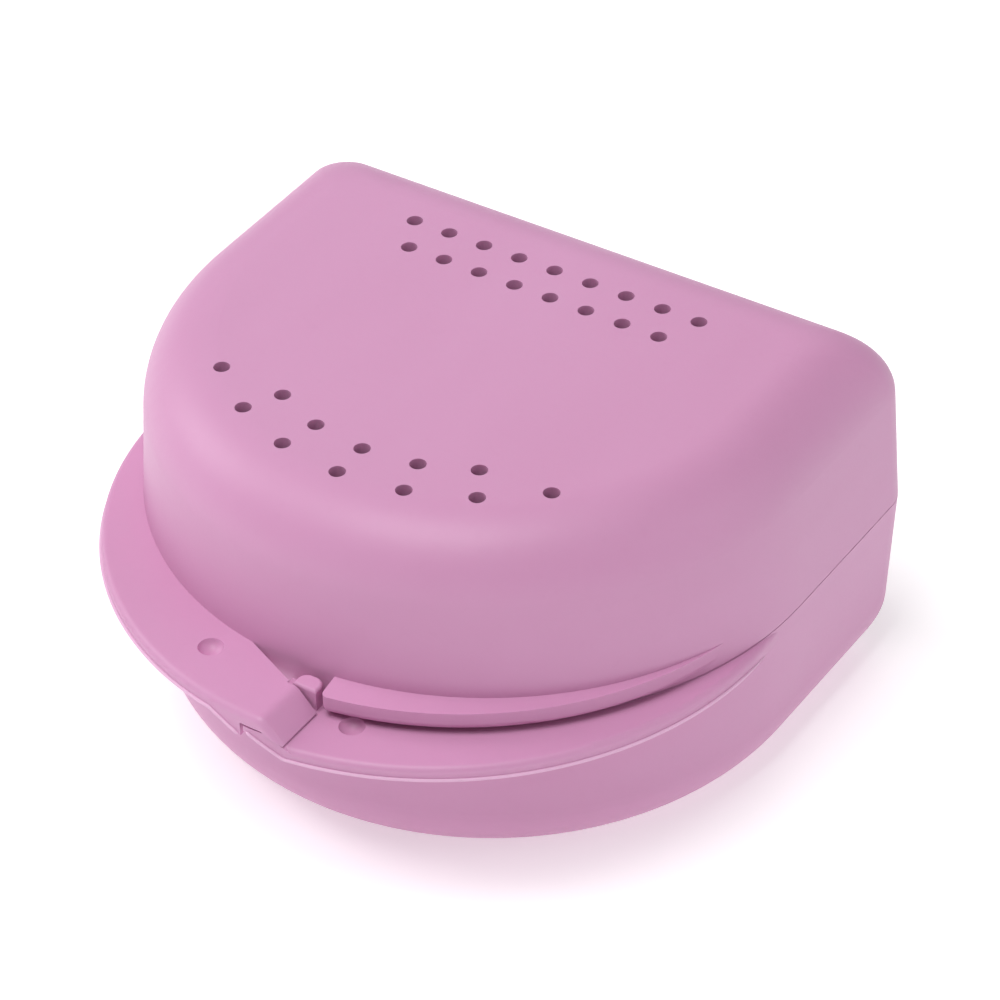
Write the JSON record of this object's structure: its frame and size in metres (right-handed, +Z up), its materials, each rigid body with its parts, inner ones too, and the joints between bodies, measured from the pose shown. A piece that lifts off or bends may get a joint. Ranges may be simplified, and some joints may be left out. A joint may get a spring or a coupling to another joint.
{
  "type": "mouthguard with case",
  "caption": "Two-layer boil-and-bite mouthguard in a vented D-shaped plastic carrying case with a hinged lid and staggered finger tabs.",
  "frame": {"origin": "centre of the closed case's footprint, on the surface that it stands on", "axes": "+Z up; -Y towards the round front with the finger tabs; +Y towards the flat back with the hinge; X across the case, along the hinge axis"},
  "size_m": [0.0844, 0.085, 0.048],
  "materials": {
    "case_plastic": "fine satin moulded polypropylene, pink",
    "guard_rubber": "smooth moulded EVA, charcoal",
    "guard_gel": "soft translucent gel lining"
  },
  "bodies": {
    "base": {"base": "case_plastic"},
    "lid": {"lid": "case_plastic"},
    "mouthguard": {"mouthguard_shell": "guard_rubber", "mouthguard_liner": "guard_gel"}
  },
  "joints": [
    {"name": "lid_hinge", "type": "hinge", "parent": "base", "child": "lid", "pos_m": [0, 0.0404, 0.024], "axis": [-1, 0, 0], "range_deg": [0, 180]},
    {"name": "mouthguard_lift", "type": "slide", "parent": "base", "child": "mouthguard", "axis": [0, 0, 1], "range_m": [0, 0.0238]}
  ]
}
